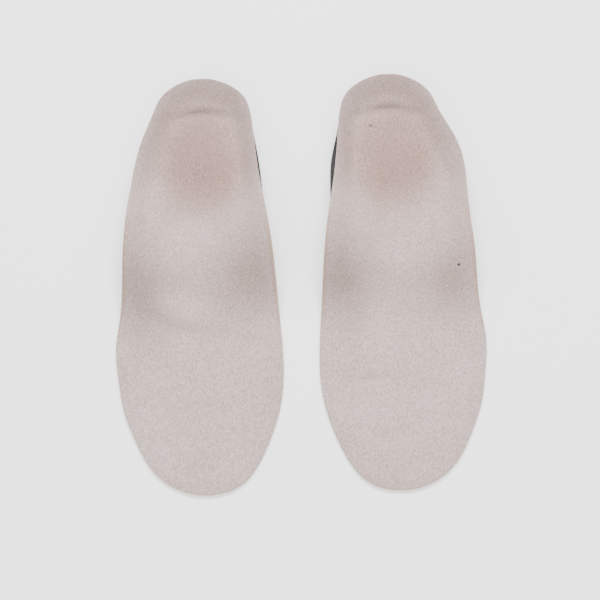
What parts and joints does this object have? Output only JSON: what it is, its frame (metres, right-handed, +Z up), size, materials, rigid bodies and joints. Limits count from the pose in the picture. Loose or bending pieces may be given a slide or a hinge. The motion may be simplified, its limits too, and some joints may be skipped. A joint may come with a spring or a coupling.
{
  "type": "cushioned insole",
  "caption": "Pair of moulded cushioned insoles with deep heel cups, raised arches, fabric top covers and firm foam bases that flex at the toe break.",
  "frame": {"origin": "on the ground, midway between the two insoles and midway from heel to toe", "axes": "+Z up, -Y towards the toes, +X towards the left insole, which lies on the right of the pair seen from above with the toes towards the viewer"},
  "size_m": [0.2152, 0.2627, 0.0304],
  "materials": {
    "top_cover": "brushed microfibre",
    "cushion": "matt closed-cell foam",
    "soft_pad": "soft gel foam",
    "shell": "fine matt moulded",
    "block": "ground EVA foam",
    "lining": "thin backing cloth"
  },
  "bodies": {
    "left_insole_rear": {"left_top_cover_rear": "top_cover", "left_cushion_rear": "cushion", "left_heel_plug": "soft_pad", "left_metatarsal_pad": "soft_pad", "left_support_shell": "shell", "left_heel_post": "block", "left_arch_filler": "block", "left_inner_heel_wedge": "block", "left_base_lining_rear": "lining"},
    "left_insole_toe": {"left_top_cover_toe": "top_cover", "left_cushion_toe": "cushion", "left_base_lining_toe": "lining"},
    "right_insole_rear": {"right_top_cover_rear": "top_cover", "right_cushion_rear": "cushion", "right_heel_plug": "soft_pad", "right_metatarsal_pad": "soft_pad", "right_support_shell": "shell", "right_heel_post": "block", "right_arch_filler": "block", "right_inner_heel_wedge": "block", "right_base_lining_rear": "lining"},
    "right_insole_toe": {"right_top_cover_toe": "top_cover", "right_cushion_toe": "cushion", "right_base_lining_toe": "lining"}
  },
  "joints": [
    {"name": "left_toe_flex", "type": "hinge", "parent": "left_insole_rear", "child": "left_insole_toe", "pos_m": [0.059, -0.0485, 0.004], "axis": [-1, 0, 0], "range_deg": [0, 50], "stiffness_Nm_per_rad": 0.15},
    {"name": "right_toe_flex", "type": "hinge", "parent": "right_insole_rear", "child": "right_insole_toe", "pos_m": [-0.059, -0.0485, 0.004], "axis": [-1, 0, 0], "range_deg": [0, 50], "stiffness_Nm_per_rad": 0.15},
    {"name": "pair_spacing", "type": "slide", "parent": "left_insole_rear", "child": "right_insole_rear", "axis": [-1, 0, 0], "range_m": [0, 0.15]}
  ]
}
